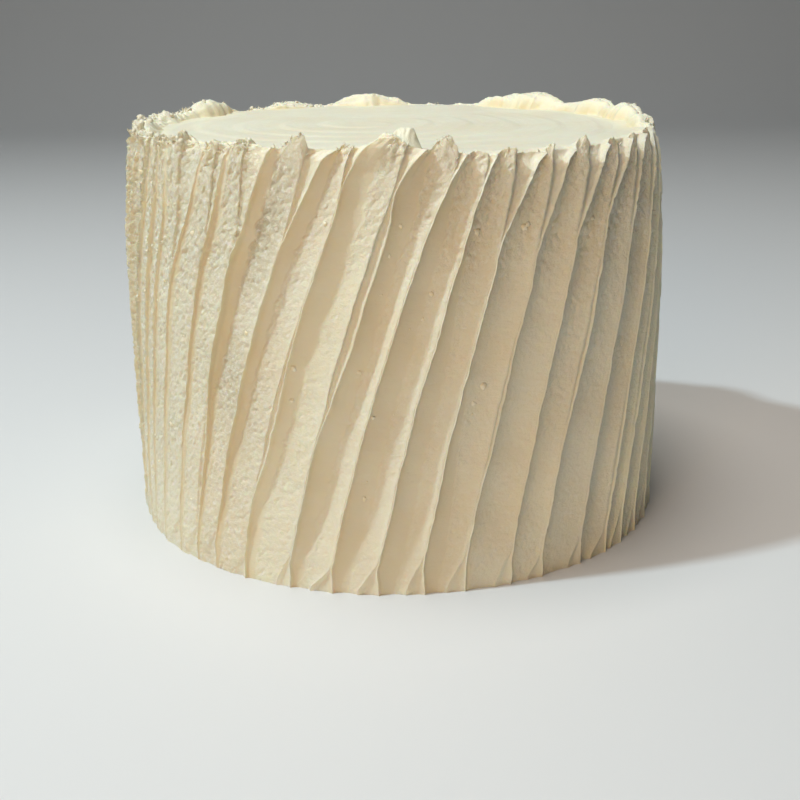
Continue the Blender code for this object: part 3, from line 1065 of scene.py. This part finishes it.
IVORY = (0.86, 0.82, 0.66)
CREAM = (0.84, 0.77, 0.59)
# Deeper yellow of the icing's hollows, also used as painted shade in creases
BUTTER_AND_SHADE = (0.80, 0.65, 0.36)
FLECK = (0.92, 0.90, 0.80)
PALE = (0.92, 0.89, 0.70)
# Painted shade: the tan of the channels' shadowed left parts
BAND_SHADE_TAN = (0.70, 0.59, 0.38)
# Grey of torn icing, also painted shade for the dimmer light at the far left
TORN_GREY_AND_SHADE = (0.57, 0.54, 0.40)
CRUMB = (0.93, 0.83, 0.58)
ICED_CRUMB = (0.95, 0.90, 0.74)
ICING_SCATTER = 0.35  # share of the light that passes under the icing's surface


def icing_colour(n, place, torn):
    """Mottled ivory, greyer and flecked where torn, deeper yellow in hollows; painted shade in tan on the
    channels' shadowed parts and in deeper yellow in creases. The greying of torn icing is partly painted
    shade for the far left's dimmer light.
    """
    broad = n.ranged(n.noise(place, 38.0, 4.0), 0.35, 0.68)
    colour = n.mixed(broad, IVORY, CREAM)
    # Greyer where most torn, mostly at the left: partly the torn icing's own look, partly painted shade for
    # the dimmer light there
    worn = n.times(n.ranged(torn, 0.55, 1.10), 0.85)
    colour = n.mixed(worn, colour, TORN_GREY_AND_SHADE)
    colour = n.mixed(n.times(n.value_of("heap"), 0.7), colour, PALE)
    specks = n.ranged(n.noise(place, 620.0, 3.0, 0.65), 0.50, 0.66)
    colour = n.mixed(n.times(specks, n.times(torn, 0.95)), colour, FLECK)
    hollows = n.ranged(n.noise(place, 380.0, 3.0, 0.6), 0.54, 0.70)
    colour = n.mixed(n.times(hollows, n.times(torn, 0.32)), colour, BUTTER_AND_SHADE)
    # Painted shade: tan over the shadowed left parts of the channels
    colour = n.mixed(n.times(n.value_of("satin"), 0.8), colour, BAND_SHADE_TAN)
    uneven = n.ranged(n.noise(place, 70.0, 3.0), 0.3, 0.7, 0.25, 0.75)
    # Painted shade: deeper yellow in the creases right of the ridges and at the rim's inner foot, and tan
    # streaks under the specks
    return n.mixed(n.times(n.value_of("crevice"), uneven), colour, BUTTER_AND_SHADE)


def icing_relief(n, place, torn, pits):
    """Fine grain, strongest where torn, and level streaks that the knife's edge leaves."""
    grain = n.noise(place, 1150.0, 4.0, 0.7)
    relief = n.plus(n.times(grain, 0.6), pits)
    height = n.times(relief, n.plus(n.times(torn, 1.9), 0.22))
    squeezed = n.add("ShaderNodeVectorMath", (place, 0), operation="MULTIPLY")
    squeezed.inputs[1].default_value = (1.0, 1.0, 5.5)
    streaks = n.noise(squeezed.outputs[0], 170.0, 3.0, 0.6)
    height = n.plus(height, n.times(streaks, n.times(n.value_of("wall"), 0.35)))
    bump = n.add("ShaderNodeBump", (height, "Height"))
    set_inputs(bump, {"Strength": 0.55, "Distance": 0.0009})
    return bump.outputs["Normal"]


def buttercream(name, scatter):
    """Ivory icing. Scatter is the light that passes under it, none in thin and tiny pieces."""
    n = Nodes(name)
    place = n.add("ShaderNodeTexCoord").outputs["Object"]
    torn = n.value_of("torn")
    pits = n.noise(place, 420.0, 4.0, 0.65)
    n.shade(icing_colour(n, place, torn), "Base Color")
    n.shade(icing_relief(n, place, torn, pits), "Normal")
    n.shade(n.plus(n.ranged(pits, 0.3, 0.7, 0.42, 0.56), n.times(torn, 0.12)), "Roughness")
    scattering = {"Subsurface Weight": scatter, "Subsurface Scale": 0.0022}
    set_inputs(n.shader, {**scattering, "Subsurface Radius": (1.0, 0.62, 0.30), "Specular IOR Level": 0.35})
    return n.material


def crumb_finish():
    """Yellow-tan crumbs, paler where icing clings to them."""
    n = Nodes("crumb")
    place = n.add("ShaderNodeTexCoord").outputs["Object"]
    share = n.ranged(n.noise(place, 700.0, 2.0), 0.38, 0.62)
    n.shade(n.mixed(share, CRUMB, ICED_CRUMB), "Base Color")
    set_inputs(n.shader, {"Roughness": 0.5})
    return n.material


def floor_finish():
    n = Nodes("floor_paint")
    set_inputs(n.shader, {"Base Color": FLOOR_COLOUR, "Roughness": 0.6})
    return n.material


# Name, angle from the front, angle above the floor, distance, size, power and colour
LIGHTS = (
    ("key", -70.0, 56.0, 1.6, 0.08, 14.0, (0.72, 0.91, 1.0)),
    ("warm_front", -20.0, 15.0, 1.6, 0.5, 6.3, (1.0, 0.63, 0.27)),
    ("cool_front", -20.0, 45.0, 1.6, 0.5, 1.3, (0.35, 0.55, 1.0)),
    ("above", -60.0, 83.0, 1.6, 0.8, 14.6, (1.0, 0.95, 0.85)),
)
WORLD_COLOUR = (0.80, 0.88, 1.00, 1.0)
WORLD_STRENGTH = 0.01
FLOOR_COLOUR = (0.75, 0.75, 0.76, 1.0)


def area_light(name, azimuth, elevation, distance, size, power, colour):
    """A square light that faces the cake's middle."""
    data = bpy.data.lights.new(name, "AREA")
    data.size = size
    data.energy = power
    data.color = colour
    turn, lift = math.radians(azimuth), math.radians(elevation)
    x, y = level_place(math.cos(lift), turn)
    way = Vector((x, y, math.sin(lift)))
    target = Vector((0.0, 0.0, HEIGHT / 2))
    light = new_object(name, data)
    light.location = target + way * distance
    light.rotation_euler = (-way).to_track_quat("-Z", "Y").to_euler()


def studio():
    """Floor, faint surroundings, a cool key light from the left, a warm fill and light from above."""
    front, wall, side, high = -4.0, 2.5, 6.0, 5.0
    bend_radius = 1.0
    bend = np.radians(np.arange(0.0, 91.0, 5.0))
    y = np.concatenate([[front], wall - bend_radius + bend_radius * np.sin(bend), [wall]])
    z = np.concatenate([[0.0], bend_radius - bend_radius * np.cos(bend), [high]])
    sheet = joined(np.array([-side, side]), y[:, None], z[:, None])
    floor = new_mesh("floor", sheet.reshape(-1, 3), [quads(len(y), 2)])
    floor.data.materials.append(floor_finish())
    world = bpy.data.worlds.new("studio")
    world.use_nodes = True
    set_inputs(world.node_tree.nodes["Background"], {"Color": WORLD_COLOUR, "Strength": WORLD_STRENGTH})
    bpy.context.scene.world = world
    for light in LIGHTS:
        area_light(*light)


# The photo's camera: its place, how far it looks down, to the side and over, and its lens
CAMERA_PLACE = (0.0, -0.4968, 0.1996)
CAMERA_PITCH, CAMERA_YAW, CAMERA_ROLL = 18.08, -0.177, -0.69
LENS_PIXELS = 1231.0  # focal length in pixels of the photo's frame
FRAME_PIXELS = 800.0
SENSOR_MM = 36.0


def camera():
    data = bpy.data.cameras.new("camera")
    data.sensor_width = SENSOR_MM
    data.lens = SENSOR_MM * LENS_PIXELS / FRAME_PIXELS
    data.clip_start = 0.01
    eye = new_object("camera", data)
    aim = Matrix.Rotation(math.radians(CAMERA_YAW), 4, "Z")
    aim = aim @ Matrix.Rotation(math.radians(90.0 - CAMERA_PITCH), 4, "X")
    aim = aim @ Matrix.Rotation(math.radians(CAMERA_ROLL), 4, "Z")
    eye.matrix_world = Matrix.Translation(CAMERA_PLACE) @ aim
    bpy.context.scene.camera = eye


def main():
    camera()
    studio()
    bpy.context.scene.view_settings.view_transform = "Standard"
    skin = skin_grid()
    tear(skin)
    icing = buttercream("buttercream", ICING_SCATTER)
    small = buttercream("buttercream_torn", 0.0)
    side_pieces(skin, icing)
    top_piece(skin.points[-1], skin.normals[-1], icing)
    base_piece(skin.points[0], icing)
    curl_piece(small)
    torn_pieces(skin, small)
    crumb_piece(skin, crumb_finish())


main()
